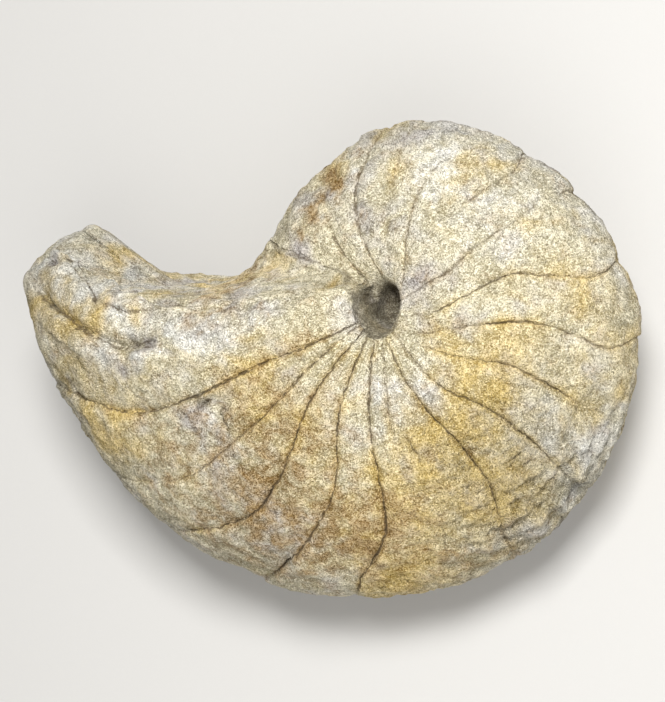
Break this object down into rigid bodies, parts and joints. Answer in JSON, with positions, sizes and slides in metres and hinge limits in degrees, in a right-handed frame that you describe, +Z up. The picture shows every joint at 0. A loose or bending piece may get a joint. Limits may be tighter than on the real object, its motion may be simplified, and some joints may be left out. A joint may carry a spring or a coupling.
{
  "type": "fossil nautilus",
  "caption": "Fossil nautilus: a coiled internal mould in sandy limestone, with a deep umbilicus, sinuous suture grooves and a worn open end, lying on one flank.",
  "frame": {"origin": "centre of the bounding box's base, on the surface that the fossil lies on", "axes": "+X from the open end towards the far side of the coil, +Y in the plane of the table towards the top of the coil, +Z up through the upper flank"},
  "size_m": [0.1286, 0.0938, 0.0561],
  "materials": {
    "stone": "fine sandy limestone, matt with a faint sheen, cream to ochre with grey and rust stains"
  },
  "bodies": {
    "root": {"fossil_nautilus": "stone"}
  },
  "joints": []
}
